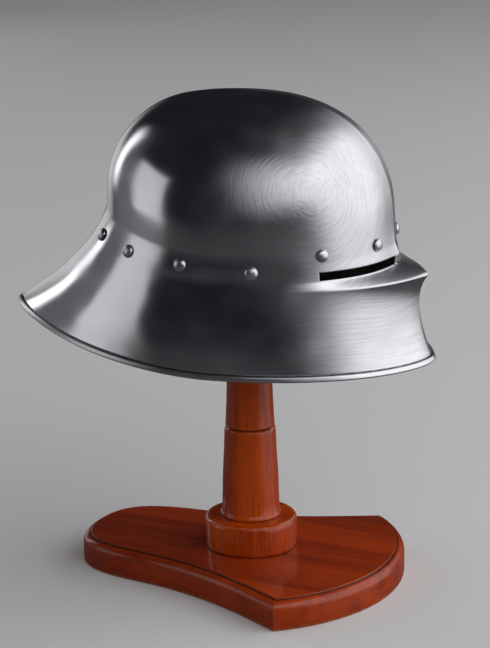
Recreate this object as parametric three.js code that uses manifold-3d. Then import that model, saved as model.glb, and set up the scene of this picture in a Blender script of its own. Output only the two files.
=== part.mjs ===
// A steel sallet helmet, raised in one piece, on a turned wooden display stand.
// Millimetres, +Z up, +X is the wearer's front, the origin is under the column on the ground.
import * as THREE from 'three';
import { mergeVertices } from 'three/addons/utils/BufferGeometryUtils.js';
import Module from 'manifold-3d';

const wasm = await Module();
wasm.setup();

// ---- driving dimensions ----
const STEEL = 2;                 // sheet thickness of the helmet
const GAP = 0.3;                 // clearance between touching pieces
const CROWN_Z = 438;             // top of the skull over the ground
const DOME = {                   // half sizes of the skull above its widest hoop, and its squareness
  front: { reach: 129, base: 325, power: 2.4 },
  side: { reach: 107, base: 316, power: 2.3 },
  back: { reach: 124, base: 336, power: 2.6 },
};
// The skirt below the dome, hoop by hoop: [out, height] at the front, side and back, and how
// pointed the plan curve is in front of and behind the ears (1 is an ellipse).
const SKIRT = [
  { front: [129.5, 314], side: [107.7, 311], back: [131.5, 321.5], bow: 0.99, stern: 1.02 },
  { front: [131.5, 304], side: [108.3, 305], back: [142, 306.5], bow: 1.02, stern: 1.06 },
  { front: [132.5, 296], side: [109, 297.5], back: [148, 299.5], bow: 1.03, stern: 1.1 },
  { front: [134, 288], side: [110, 290], back: [158, 289], bow: 1.05, stern: 1.16 },
  { front: [138.5, 274], side: [112, 276], back: [170, 276.5], bow: 1.08, stern: 1.25 },
  { front: [146, 254.5], side: [114.5, 259], back: [184, 264.5], bow: 1.13, stern: 1.35 },
  { front: [154.5, 235], side: [117, 240], back: [199, 253], bow: 1.19, stern: 1.46 },
  { front: [163.5, 215], side: [119, 220.5], back: [213.5, 242], bow: 1.25, stern: 1.58 },
];
const DOME_HOOPS = 7;            // hoops 0 to 7 are the dome, then one for each skirt row
const LEDGE_CREASE = 10;         // hoop numbers of the ledge's inner crease, its fold and the rim
const LEDGE_FOLD = 11;
const RIM = 15;
const LEDGE_REACH = 27;          // how far the ledge under the slits stands out at the middle
const LEDGE_SPREAD = 68;         // degrees round from the front at which it has faded out
const KEEL_WIDTH = 12;           // the medial ridge dies away over this distance
const KEEL_HEIGHTS = [[0, 1.8], [7, 1.8], [8, 2.8], [9, 4.4], [10, 1.6], [11, 1], [15, 1]];
const BEAD = 2.6;                // radius of the rim's rolled edge
const BEAD_INSET = 0.3;          // how far its middle lies inside the skull's face
const SLIT = { from: 2.7, to: 48.2, top: 9.02, bottom: 9.93 };   // degrees from the middle, hoops
const RIVET = { head: 5.6, rise: 3.4, shank: 2.4, clench: 4, clenchRise: 1.4 };
// Each rivet of one side: degrees round from the front, and hoop number.
const RIVETS = [[16, 7.4], [46, 7.1], [74, 8.8], [101, 8.3], [126, 8.2], [149, 8.1]];

const BOARD = {
  thick: 27, step: 1.6, round: 7, bevel: 0.4, turn: -8,
  arc: { centre: -17.6, radius: 146.6, corner: 112 },   // the front edge, to half its width
  flank: [[34, 90], [-12, 65], [-80, 59]],               // bends, each with two pulls and its end
  stern: [[-128, 55], [-154, 44], [-154, 0]],
};
// Outlines of the turned pieces as [radius, height], from the bottom up.
const COLLAR = {
  bore: 24.3,
  top: 56,
  outline: [[40.1, 27.3], [40.7, 28.1], [41.3, 39.3], [41.1, 51], [39.9, 54], [37.2, 55.6], [35.7, 56]],
};
const COLUMN = {
  tenon: 24,
  top: 398,
  topRadius: 20,
  outline: [[27.2, 56.3], [27.4, 58.3], [26.4, 60.3], [25.6, 65.3], [24.8, 92], [23.6, 115], [22.7, 136],
    [22.4, 137.4], [19.8, 139], [22, 140.6], [21.6, 143], [20.6, 167], [20, 199]],
};
const CAP = {
  socket: 386,                   // height at which the column enters it
  outline: [[26.3, 386], [34.3, 392], [54, 400], [58, 403]],
  bulge: { centre: 339.8, radius: 96, from: [58, 48, 36, 24, 12, 0] },
};

const steel = new THREE.MeshStandardMaterial({ color: 0xb4b6bb, roughness: 0.32, metalness: 1 });
const rivetSteel = new THREE.MeshStandardMaterial({ color: 0xc0c1c4, roughness: 0.25, metalness: 1 });
const mahogany = new THREE.MeshStandardMaterial({ color: 0x7c2f12, roughness: 0.3, metalness: 0 });
const redMahogany = new THREE.MeshStandardMaterial({ color: 0x93400f, roughness: 0.3, metalness: 0 });

const rad = THREE.MathUtils.degToRad;

// ---- the skull's surface ----

/** A hoop is one plan curve round the skull: where it passes the front, side and back. */
function domeHoop(index) {
  const angle = index / DOME_HOOPS * Math.PI / 2;
  const pass = ({ reach, base, power }) => [
    reach * Math.sin(angle) ** (2 / power),
    base + (CROWN_Z - base) * Math.max(Math.cos(angle), 0) ** (2 / power),
  ];
  return { front: pass(DOME.front), side: pass(DOME.side), back: pass(DOME.back), bow: 0.98, stern: 0.98 };
}

const HOOPS = [...Array.from({ length: DOME_HOOPS + 1 }, (_, i) => domeHoop(i)), ...SKIRT]
  .map(({ front, side, back, bow, stern }) => [...front, ...side, ...back, bow, stern]);

/** The hoop at a fractional number: a Catmull-Rom curve through the hoops. */
function hoopAt(t) {
  const last = HOOPS.length - 1;
  const i = Math.min(Math.floor(t), last - 1);
  const f = t - i;
  return HOOPS[i].map((p1, k) => {
    const p2 = HOOPS[i + 1][k];
    const p0 = i > 0 ? HOOPS[i - 1][k] : 2 * p1 - p2;
    const p3 = i < last - 1 ? HOOPS[i + 2][k] : 2 * p2 - p1;
    return p1 + 0.5 * f * (p2 - p0 + f * (2 * p0 - 5 * p1 + 4 * p2 - p3 + f * (3 * (p1 - p2) + p3 - p0)));
  });
}

function hoopPoint(t, phi) {
  const [xf, zf, ys, zs, xb, zb, bow, stern] = hoopAt(t);
  const c = Math.cos(phi);
  const s = Math.sin(phi);
  const ahead = c >= 0;
  const y = Math.sign(s) * ys * Math.abs(s) ** (ahead ? bow : stern);
  const endwise = Math.abs(c) ** (ahead ? 2 : 1.6);
  return new THREE.Vector3((ahead ? xf : xb) * c, y, zs + endwise * ((ahead ? zf : zb) - zs));
}

/** How far the ledge pushes hoop t out: none above its crease, most at its fold. */
function ledgePush(t, phi) {
  const rise = THREE.MathUtils.clamp(t - LEDGE_CREASE, 0, 1);
  const fall = THREE.MathUtils.clamp((RIM - t) / (RIM - LEDGE_FOLD), 0, 1) ** 2;
  const spread = Math.max(1 - Math.abs(phi) / rad(LEDGE_SPREAD), 0) ** 2;
  return LEDGE_REACH * (t < LEDGE_FOLD ? rise : fall) * spread;
}

/** The hoops with the ledge pushed out of them. */
function bodyPoint(t, phi) {
  const point = hoopPoint(t, phi);
  const push = ledgePush(t, phi);
  if (push > 0) {
    const tangent = hoopPoint(t, phi + 1e-3).sub(hoopPoint(t, phi - 1e-3));
    point.add(new THREE.Vector3(tangent.y, -tangent.x, 0).normalize().multiplyScalar(push));
  }
  return point;
}

function bodyNormal(t, phi) {
  const [lo, hi] = [Math.max(t - 0.01, 0.05), Math.min(Math.max(t, 0.05) + 0.01, RIM)];
  const down = bodyPoint(hi, phi).sub(bodyPoint(lo, phi));
  const round = bodyPoint(Math.max(t, 0.05), phi + 1e-3).sub(bodyPoint(Math.max(t, 0.05), phi - 1e-3));
  return down.cross(round).normalize();
}

/** Height of the medial ridge: low over the crown, tallest at the brow, gone down the back. */
function keelHeight(t, point) {
  const i = Math.max(KEEL_HEIGHTS.findLastIndex(([at]) => at <= t), 0);
  const [t0, h0] = KEEL_HEIGHTS[i];
  const [t1, h1] = KEEL_HEIGHTS[Math.min(i + 1, KEEL_HEIGHTS.length - 1)];
  const height = t1 > t0 ? THREE.MathUtils.lerp(h0, h1, (t - t0) / (t1 - t0)) : h1;
  const behind = THREE.MathUtils.smoothstep(point.x, -115, -60);
  return height * behind * Math.exp(-Math.abs(point.y) / KEEL_WIDTH);
}

/** A point of the finished skull, `depth` inside its outer face. */
function skullPoint(t, phi, depth = 0) {
  const point = bodyPoint(t, phi);
  const normal = t < 0.06 ? new THREE.Vector3(0, 0, 1) : bodyNormal(t, phi);
  return point.add(normal.multiplyScalar(keelHeight(t, point) - depth));
}

// ---- mesh helpers ----

function geometryOf(points, triangles) {
  const geometry = new THREE.BufferGeometry();
  const numbers = points.flatMap((p) => [p.x, p.y, p.z]);
  geometry.setAttribute('position', new THREE.Float32BufferAttribute(numbers, 3));
  geometry.setIndex(triangles.flat());
  return geometry;
}

/** Skins closed rings of points from the top down, the first and last fanned to a middle point. */
function skin(rings, firstMiddle, lastMiddle) {
  const n = rings[0].length;
  const points = [...rings.flat(), firstMiddle, lastMiddle];
  const triangles = [];
  for (let r = 0; r + 1 < rings.length; r += 1) {
    for (let k = 0; k < n; k += 1) {
      const [a, b] = [r * n + k, r * n + (k + 1) % n];
      triangles.push([a, a + n, b], [b, a + n, b + n]);
    }
  }
  const lastRing = (rings.length - 1) * n;
  for (let k = 0; k < n; k += 1) {
    const next = (k + 1) % n;
    triangles.push([points.length - 2, k, next], [lastRing + k, points.length - 1, lastRing + next]);
  }
  return geometryOf(points, triangles);
}

function solid(geometry) {
  const bare = geometry.clone();
  bare.deleteAttribute('normal');
  bare.deleteAttribute('uv');
  const merged = mergeVertices(bare, 1e-4);
  return new wasm.Manifold(new wasm.Mesh({
    numProp: 3,
    vertProperties: new Float32Array(merged.attributes.position.array),
    triVerts: new Uint32Array(merged.index.array),
  }));
}

function geometryFrom(manifold) {
  const mesh = manifold.getMesh();
  const geometry = new THREE.BufferGeometry();
  geometry.setAttribute('position', new THREE.BufferAttribute(new Float32Array(mesh.vertProperties), 3));
  geometry.setIndex(new THREE.BufferAttribute(new Uint32Array(mesh.triVerts), 1));
  return geometry;
}

/** A turned piece: its half outline as [radius, height] points, closed on the axis or on itself. */
function turned(outline, segments = 32) {
  const geometry = new THREE.LatheGeometry(outline.map(([r, z]) => new THREE.Vector2(r, z)), segments);
  return geometry.rotateX(Math.PI / 2);
}

// ---- the helmet ----

const SKULL_SEGMENTS = 56;

function skullRing(t, depth) {
  return Array.from({ length: SKULL_SEGMENTS }, (_, k) => {
    const phi = (k / SKULL_SEGMENTS * 2 - 1) * Math.PI;
    return skullPoint(t, phi, depth);
  });
}

/** The rim's rolled edge: rings round a bead that hangs from the skull's lower edge. */
function beadRing(angle) {
  return Array.from({ length: SKULL_SEGMENTS }, (_, k) => {
    const phi = (k / SKULL_SEGMENTS * 2 - 1) * Math.PI;
    const edge = skullPoint(RIM, phi);
    const out = bodyNormal(RIM, phi);
    const down = skullPoint(RIM, phi).sub(skullPoint(RIM - 0.05, phi)).normalize();
    return edge
      .add(out.multiplyScalar(BEAD * Math.cos(angle) - BEAD_INSET))
      .add(down.multiplyScalar(BEAD * (1 + Math.sin(angle))));
  });
}

function shellGeometry() {
  const upper = Array.from({ length: 12 }, (_, i) => 0.7 * (i + 1));
  const outerHoops = [...upper, 8.85, 10.03, LEDGE_FOLD, 11.4, 12.1, 13, 14, RIM];
  const outer = outerHoops.map((t) => skullRing(t, 0));
  const bead = [-80, -35, 10, 55, 100, 145, 190].map((angle) => beadRing(rad(angle)));
  const inner = outerHoops.map((t) => skullRing(t, STEEL)).reverse();
  return skin([...outer, ...bead, ...inner], skullPoint(0, 0), skullPoint(0, 0, STEEL));
}

/** The tool that cuts one sight slit: a patch of the skull's face between two hoops, thickened. */
function slitCutter(side) {
  const steps = 14;
  const cut = 7;
  const rings = Array.from({ length: steps + 1 }, (_, k) => {
    const phi = side * rad(THREE.MathUtils.lerp(SLIT.from, SLIT.to, k / steps));
    const corners = [[SLIT.top, -cut], [SLIT.bottom, -cut], [SLIT.bottom, cut], [SLIT.top, cut]];
    const ring = corners.map(([t, depth]) => skullPoint(t, phi, depth));
    return side < 0 ? ring : ring.reverse();
  });
  const middle = (ring) => ring.reduce((sum, p) => sum.add(p), new THREE.Vector3()).multiplyScalar(1 / 4);
  return skin(rings, middle(rings[0]), middle(rings[steps]));
}

/** Places a piece whose own axis is +Z on the skull's face, standing outwards. */
function stand(object, t, phi) {
  object.position.copy(skullPoint(t, phi));
  object.quaternion.setFromUnitVectors(new THREE.Vector3(0, 0, 1), bodyNormal(t, phi));
  object.updateMatrix();
  return object;
}

function skull() {
  let body = solid(shellGeometry());
  for (const side of [-1, 1]) {
    body = body.subtract(solid(slitCutter(side)));
    for (const [around, t] of RIVETS) {
      const drill = new THREE.CylinderGeometry(RIVET.shank + GAP, RIVET.shank + GAP, 4 * STEEL, 8);
      const tool = stand(new THREE.Object3D(), t, side * rad(around));
      body = body.subtract(solid(drill.rotateX(Math.PI / 2).applyMatrix4(tool.matrix)));
    }
  }
  const mesh = new THREE.Mesh(geometryFrom(body), steel);
  mesh.name = 'skull';
  return mesh;
}

/** One rivet: a domed head outside, a shank through the sheet and a clenched end inside. */
function rivetGeometry() {
  const { head, rise, shank, clench, clenchRise } = RIVET;
  const inside = -STEEL - 2 * GAP;
  const domed = [0, 30, 60].map((angle) => [
    head * Math.cos(rad(angle)), 2 * GAP + rise * Math.sin(rad(angle)) ** 0.9,
  ]);
  return turned([
    [0, inside - clenchRise], [clench * 0.7, inside - clenchRise], [clench, inside], [shank, inside],
    [shank, 2 * GAP], ...domed, [0, 2 * GAP + rise],
  ], 12);
}

function rivets() {
  const group = new THREE.Group();
  for (const [side, word] of [[-1, 'right'], [1, 'left']]) {
    RIVETS.forEach(([around, t], i) => {
      const rivet = new THREE.Mesh(rivetGeometry(), rivetSteel);
      rivet.name = `rivet_${word}_${i + 1}`;
      group.add(stand(rivet, t, side * rad(around)));
    });
  }
  return group;
}

// ---- the stand ----

/** Half of the board's top edge, from the middle of its front to the middle of its back. */
function boardHalf() {
  const { centre, radius, corner } = BOARD.arc;
  const sweep = Math.asin(corner / radius);
  const arc = Array.from({ length: 8 }, (_, i) => {
    const angle = sweep * i / 7;
    return new THREE.Vector2(centre + radius * Math.cos(angle), radius * Math.sin(angle));
  });
  const [flank, stern] = [BOARD.flank, BOARD.stern].map((bend) => bend.map((p) => new THREE.Vector2(...p)));
  const flankCurve = new THREE.CubicBezierCurve(arc.at(-1), ...flank);
  const sternCurve = new THREE.CubicBezierCurve(flank.at(-1), ...stern);
  return [...arc, ...flankCurve.getPoints(9).slice(1), ...sternCurve.getPoints(10).slice(1)];
}

/** The board's outline, `grow` outside its top edge, with its two front corners kept sharp. */
function boardRing(grow, z) {
  const half = boardHalf();
  const mirror = half.slice(1, -1).reverse().map((p) => new THREE.Vector2(p.x, -p.y));
  const loop = [...half, ...mirror];
  return loop.map((p, i) => {
    const before = loop.at(i - 1);
    const after = loop[(i + 1) % loop.length];
    const [u, v] = [p.clone().sub(before).normalize(), after.clone().sub(p).normalize()];
    const mitre = new THREE.Vector2(u.y + v.y, -u.x - v.x).multiplyScalar(1 / (1 + u.dot(v)));
    return new THREE.Vector3(p.x + mitre.x * grow, p.y + mitre.y * grow, z);
  });
}

function board() {
  const { thick, step, round, bevel } = BOARD;
  const shoulder = thick - step;
  const quarter = [80, 60, 30, 0].map((angle) => boardRing(
    round * Math.cos(rad(angle)), shoulder - round + round * Math.sin(rad(angle)),
  ));
  const rings = [boardRing(0, thick), boardRing(bevel, thick - bevel), boardRing(bevel, shoulder),
    ...quarter, boardRing(round, 1), boardRing(round - 1, 0)];
  const geometry = skin(rings, new THREE.Vector3(0, 0, thick), new THREE.Vector3(0, 0, 0));
  const mesh = new THREE.Mesh(geometry, redMahogany);
  mesh.name = 'stand_board';
  mesh.rotation.z = rad(BOARD.turn);
  return mesh;
}

/** A mesh of turned wood from its half outline. */
function turnedMesh(name, outline) {
  const mesh = new THREE.Mesh(turned(outline), mahogany);
  mesh.name = name;
  return mesh;
}

function collar() {
  const { bore, top, outline } = COLLAR;
  const foot = [bore, BOARD.thick + GAP];
  return turnedMesh('stand_collar', [foot, ...outline, [bore, top], foot]);
}

function column() {
  const { tenon, top, topRadius, outline } = COLUMN;
  const foot = BOARD.thick + GAP;
  const seat = COLLAR.top + GAP;
  const below = [[0, foot], [tenon, foot], [tenon, seat]];
  return turnedMesh('stand_column', [...below, ...outline, [topRadius, top], [0, top]]);
}

/** The rounded cap that the skull rests on, inside the crown. */
function cap() {
  const { socket, outline, bulge } = CAP;
  const bore = COLUMN.topRadius + GAP;
  const hollow = [[0, COLUMN.top + GAP], [bore, COLUMN.top + GAP], [bore, socket]];
  const round = bulge.from.map((r) => [r, bulge.centre + Math.sqrt(bulge.radius ** 2 - r ** 2)]);
  return turnedMesh('stand_cap', [...hollow, ...outline, ...round]);
}

const model = new THREE.Group();
model.add(skull(), rivets(), board(), collar(), column(), cap());

export default model;
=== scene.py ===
import math

import bmesh
import bpy
import numpy as np
from mathutils import Matrix, Vector


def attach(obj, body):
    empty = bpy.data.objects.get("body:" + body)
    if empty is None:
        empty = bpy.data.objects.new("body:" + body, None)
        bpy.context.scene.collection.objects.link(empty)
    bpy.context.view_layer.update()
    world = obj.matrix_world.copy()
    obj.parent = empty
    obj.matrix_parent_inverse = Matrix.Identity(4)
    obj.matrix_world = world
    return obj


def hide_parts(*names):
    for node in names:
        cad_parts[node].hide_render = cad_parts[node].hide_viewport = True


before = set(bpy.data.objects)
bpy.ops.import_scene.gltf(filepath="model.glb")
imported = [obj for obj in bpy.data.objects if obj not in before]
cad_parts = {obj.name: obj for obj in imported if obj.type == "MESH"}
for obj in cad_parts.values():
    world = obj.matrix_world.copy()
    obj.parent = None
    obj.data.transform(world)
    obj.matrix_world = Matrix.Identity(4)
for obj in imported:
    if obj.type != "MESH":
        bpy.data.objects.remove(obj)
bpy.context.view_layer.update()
mm = 0.001
scene = bpy.context.scene


# camera

camera = {
    "place": (0.67425, -2.08604, 0.86024),
    "turn": 18.0,  # degrees round from the wearer's right
    "rise": 16.005,  # degrees above level
    "roll": 0.69,
    "lens": 144.44,
    "frameWidth": 36,
}


def outwards(turn, rise):  # degrees round from the wearer's right, and above level
    turn, rise = math.radians(turn), math.radians(rise)
    level = math.cos(rise)
    return Vector((math.sin(turn) * level, -math.cos(turn) * level, math.sin(rise)))


def addCamera():
    back = outwards(camera["turn"], camera["rise"])
    roll = math.radians(camera["roll"])
    level = Vector((0, 0, 1)).cross(back).normalized()
    upright = back.cross(level)
    right = level * math.cos(roll) - upright * math.sin(roll)
    up = upright * math.cos(roll) + level * math.sin(roll)
    data = bpy.data.cameras.new("viewer")
    data.lens = camera["lens"]
    data.sensor_width = camera["frameWidth"]
    obj = bpy.data.objects.new("viewer", data)
    axes = Matrix((right, up, back)).transposed().to_4x4()
    obj.matrix_world = Matrix.Translation(camera["place"]) @ axes
    scene.collection.objects.link(obj)
    scene.camera = obj


addCamera()
print("camera placed")


# meshes and pieces

def linkNew(obj):
    scene.collection.objects.link(obj)
    return obj


def meshFrom(name, points, faces):  # points in millimetres
    mesh = bpy.data.meshes.new(name)
    mesh.from_pydata((np.asarray(points, float) * mm).tolist(), [], faces)
    mesh.shade_smooth()
    return mesh


def pointsOf(mesh):  # in millimetres
    points = np.zeros(len(mesh.vertices) * 3, np.float32)
    mesh.vertices.foreach_get("co", points)
    return points.reshape(-1, 3) / mm


def setValues(mesh, name, values):
    data = mesh.attributes.new(name, "FLOAT", "POINT").data
    data.foreach_set("value", np.asarray(values, np.float32))


def addPiece(name, mesh, material, slotName, *stoodFor):
    if not mesh.materials:
        mesh.materials.append(material)
    obj = linkNew(bpy.data.objects.new(name, mesh))
    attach(obj, "root")
    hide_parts(*stoodFor)
    print(f"{name}: {len(mesh.polygons)} faces")
    return obj


# node trees

def feed(tree, sockets, values):  # links a socket, sets anything else
    for key, value in values.items():
        if isinstance(value, bpy.types.NodeSocket):
            tree.links.new(value, sockets[key])
        else:
            sockets[key].default_value = value


def addNode(tree, kind, inputs=None, **settings):
    node = tree.nodes.new(kind)
    for key, value in settings.items():
        setattr(node, key, value)
    feed(tree, node.inputs, inputs or {})
    return node


def newTree(name, kind, inputs, outputs):
    tree = bpy.data.node_groups.new(name, kind)
    for label, socketKind, value in inputs:
        socket = tree.interface.new_socket(
            label, in_out="INPUT", socket_type="NodeSocket" + socketKind)
        if value is not None:
            socket.default_value = value
    for label, socketKind in outputs:
        tree.interface.new_socket(
            label, in_out="OUTPUT", socket_type="NodeSocket" + socketKind)
    given = tree.nodes.new("NodeGroupInput").outputs
    return tree, given, tree.nodes.new("NodeGroupOutput").inputs


def useGroup(tree, group, inputs):
    return addNode(tree, "ShaderNodeGroup", inputs, node_tree=group).outputs


def calc(tree, operation, a, b):
    return addNode(tree, "ShaderNodeMath", {0: a, 1: b}, operation=operation).outputs[0]


def plus(tree, a, b):
    return calc(tree, "ADD", a, b)


def minus(tree, a, b):
    return calc(tree, "SUBTRACT", a, b)


def times(tree, a, b):
    return calc(tree, "MULTIPLY", a, b)


def vectorCalc(tree, operation, inputs):
    return addNode(tree, "ShaderNodeVectorMath", inputs, operation=operation).outputs


def split(tree, vector):
    return addNode(tree, "ShaderNodeSeparateXYZ", {"Vector": vector}).outputs


def noiseOf(tree, vector, scale, detail, roughness=0.5, distortion=0.0):
    return addNode(tree, "ShaderNodeTexNoise", {
        "Vector": vector, "Scale": scale, "Detail": detail, "Roughness": roughness,
        "Distortion": distortion}).outputs


def rampOf(tree, value, low, high, to0=0.0, to1=1.0):  # smooth step from low to high
    return addNode(tree, "ShaderNodeMapRange", {
        "Value": value, "From Min": low, "From Max": high, "To Min": to0, "To Max": to1,
    }, interpolation_type="SMOOTHSTEP").outputs["Result"]


def mixColour(tree, factor, a, b):
    return addNode(tree, "ShaderNodeMix", {0: factor, 6: a, 7: b}, data_type="RGBA").outputs[2]


def bumpOf(tree, height, distance, **below):
    return addNode(tree, "ShaderNodeBump", {
        "Height": height, "Strength": 1.0, "Distance": distance, **below}).outputs[0]


def placeOf(tree):
    return addNode(tree, "ShaderNodeTexCoord").outputs["Object"]


def valueOf(tree, name):  # one of the mesh's own point values
    return addNode(tree, "ShaderNodeAttribute", attribute_name=name).outputs["Fac"]


# shared shader groups

def makeStreaks():  # fine marks, long along one axis of the vector and close across it
    tree, given, made = newTree("streaks", "ShaderNodeTree", [
        ("Vector", "Vector", (0, 0, 0)), ("Spread", "Vector", (1, 1, 1)),
        ("Wander", "Float", 0.3), ("Detail", "Float", 3.0),
    ], [("Height", "Float")])
    bend = noiseOf(tree, given["Vector"], 18.0, 1.0)["Color"]
    drift = vectorCalc(tree, "SUBTRACT", {0: bend, 1: (0.5, 0.5, 0.5)})[0]
    pull = vectorCalc(tree, "SCALE", {0: drift, "Scale": times(tree, given["Wander"], 0.02)})[0]
    moved = vectorCalc(tree, "ADD", {0: given["Vector"], 1: pull})[0]
    spread = vectorCalc(tree, "MULTIPLY", {0: moved, 1: given["Spread"]})[0]
    feed(tree, made, {"Height": noiseOf(tree, spread, 1.0, given["Detail"], 0.6)["Fac"]})
    return tree


def makeSpecks():  # sparse small spots: dust, pits and nicks
    tree, given, made = newTree("specks", "ShaderNodeTree", [
        ("Vector", "Vector", (0, 0, 0)), ("Spacing", "Float", 0.01), ("Size", "Float", 0.0006),
        ("Share", "Float", 0.5),
    ], [("Mask", "Float")])
    density = calc(tree, "DIVIDE", 1.0, given["Spacing"])
    cells = addNode(tree, "ShaderNodeTexVoronoi", {
        "Vector": given["Vector"], "Scale": density}).outputs
    away = times(tree, cells["Distance"], given["Spacing"])
    pick = addNode(tree, "ShaderNodeSeparateColor", {"Color": cells["Color"]}).outputs
    spot = calc(tree, "LESS_THAN", away, times(tree, given["Size"], pick["Green"]))
    kept = calc(tree, "LESS_THAN", pick["Red"], given["Share"])
    feed(tree, made, {"Mask": times(tree, spot, kept)})
    return tree


def makeEdgeWearAndShade():  # wear along an edge on the wood, and painted shade along the steel's seams, broken up
    tree, given, made = newTree("edgeWearAndShade", "ShaderNodeTree", [
        ("Vector", "Vector", (0, 0, 0)), ("Edge", "Float", 0.0), ("Breakup", "Float", 120.0),
        ("Amount", "Float", 0.5),
    ], [("Mask", "Float")])
    noise = noiseOf(tree, given["Vector"], given["Breakup"], 4.0, 0.65)["Fac"]
    level = plus(tree, times(tree, given["Edge"], given["Amount"]), minus(tree, noise, 0.5))
    onEdge = rampOf(tree, given["Edge"], 0.0, 0.2)
    feed(tree, made, {"Mask": times(tree, rampOf(tree, level, 0.18, 0.42), onEdge)})
    return tree


def makeTimber():  # grain along X of the vector: broad bands, fibre and open pores
    tree, given, made = newTree("timber", "ShaderNodeTree", [
        ("Vector", "Vector", (0, 0, 0)), ("Band", "Float", 28.0), ("Fibre", "Float", 420.0),
        ("Pore", "Float", 900.0), ("Stretch", "Float", 0.06),
    ], [("Tone", "Float"), ("Pores", "Float"), ("Height", "Float")])
    parts = split(tree, given["Vector"])
    laid = addNode(tree, "ShaderNodeCombineXYZ", {
        "X": times(tree, parts["X"], given["Stretch"]), "Y": parts["Y"], "Z": parts["Z"],
    }).outputs[0]
    wavy = noiseOf(tree, laid, given["Band"], 3.0, distortion=0.6)["Fac"]
    fibre = noiseOf(tree, laid, given["Fibre"], 4.0, 0.7)["Fac"]
    pores = rampOf(tree, noiseOf(tree, laid, given["Pore"], 1.0)["Fac"], 0.60, 0.72)
    feed(tree, made, {
        "Tone": plus(tree, times(tree, wavy, 0.62), times(tree, fibre, 0.38)),
        "Pores": pores,
        "Height": minus(tree, times(tree, fibre, 0.4), pores),
    })
    return tree


streaks, specks, edgeWearAndShade, timber = makeStreaks(), makeSpecks(), makeEdgeWearAndShade(), makeTimber()


# steel

steel = {
    "base": (0.60, 0.60, 0.635, 1),
    "tarnish": (0.34, 0.335, 0.35, 1),
    "tarnishShare": 0.35,
    # painted shade: the dark line over the rim, round the rivets' feet and in the bottoms of the
    # polishing marks
    "steelShade": (0.035, 0.032, 0.03, 1),
    "patchScale": 22.0,
    "cloudScale": 9.0,
    "hazeSpan": (0.35, 0.7),  # of the patches, over which the roughness goes up
    "polished": (0.12, 0.20),  # roughness range behind
    "brushed": (0.27, 0.38),  # and in front
    "small": (0.30, 0.42),  # and on the rivets and the rim
    "brushedFrom": (-0.045, 0.055),  # metres along the helmet, where one turns into the other
    "brushedWander": 0.16,
    "lowerBrushing": 0.06,  # how much further forward it turns below the skull
    "belowSkull": (0.300, 0.335),
    "downMarks": (520, 18, 1),  # spread of the polishing marks down the dome,
    "levelMarks": (22, 640, 1),  # level round the skirt
    "arcMarks": (520, 50, 1),  # and round one spot on the brow's right
    "smallMarks": (900, 900, 900),
    "levelFrom": (0.21, 0.29),  # metres down from the crown, where they turn level
    "levelWander": 0.06,
    "arcCentre": (0.085, -0.085, 0.372),
    "arcTurn": 0.05,  # metres of pattern to one radian
    "arcFades": (0.075, 0.125),  # metres from that spot
    "arcStarts": (0.003, 0.016),
    "markDepth": 0.00012,  # height of the polishing marks
    "smallDepth": 0.3,  # share of it on small parts
    "polishedDepth": 0.18,  # and where the steel is polished bright
    "markTone": 0.17,  # how much darker painted shade makes their bottoms
    "lumpDepth": 0.00014,
    "anisotropy": 0.45,
    "seam": (0.3190, 0.3197),  # metres down from the crown to the painted shade line over the rim
    "seamBreakup": 260.0,
    "seamShadeAmount": 0.75,
    "speckSpacing": 0.016,
    "speckSize": 0.0007,
    "speckle": 0.25,
    "speckHaze": 0.4,
    # the inner face: painted near black for the shade inside the helmet
    "insideDark": (0.012, 0.011, 0.011, 1),
    "insideLight": (0.045, 0.042, 0.04, 1),
    "insideScale": 60.0,
    "insideDepth": 0.0003,
    "insideMetal": 0.6,
}


def newMaterial(name):
    material = bpy.data.materials.new(name)
    material.use_nodes = True
    return material, material.node_tree, material.node_tree.nodes["Principled BSDF"]


def marksAlong(tree, vector, spread, **others):
    return useGroup(tree, streaks, {
        "Vector": vector, "Spread": steel[spread], **others})["Height"]


def sheetMarks(tree, place, uv, row, cloud):  # polishing marks over the whole sheet
    down = marksAlong(tree, uv, "downMarks", Wander=0.5)
    level = marksAlong(tree, uv, "levelMarks", Wander=0.35)
    centred = addNode(tree, "ShaderNodeMapping", {
        "Vector": place, "Location": tuple(-v for v in steel["arcCentre"])}).outputs[0]
    away = vectorCalc(tree, "LENGTH", {0: centred})["Value"]
    parts = split(tree, centred)
    swing = calc(tree, "ARCTAN2", parts["Z"], parts["X"])
    ringed = addNode(tree, "ShaderNodeCombineXYZ", {
        "X": away, "Y": times(tree, swing, steel["arcTurn"])}).outputs[0]
    arcs = marksAlong(tree, ringed, "arcMarks", Wander=0.3)
    near = times(tree, rampOf(tree, away, *steel["arcFades"], 1.0, 0.0),
                 rampOf(tree, away, *steel["arcStarts"]))
    lower = plus(tree, row, times(tree, cloud, steel["levelWander"]))
    height = mixColour(tree, rampOf(tree, lower, *steel["levelFrom"]), down, level)
    return mixColour(tree, near, height, arcs)


def brushedShare(tree, place, cloud):  # 0 where it is polished bright, 1 where it is brushed
    spot = split(tree, place)
    wander = times(tree, minus(tree, cloud, 0.5), steel["brushedWander"])
    low = rampOf(tree, spot["Z"], *steel["belowSkull"], -steel["lowerBrushing"], 0.0)
    along = plus(tree, plus(tree, spot["X"], wander), low)
    return rampOf(tree, along, *steel["brushedFrom"])


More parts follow.
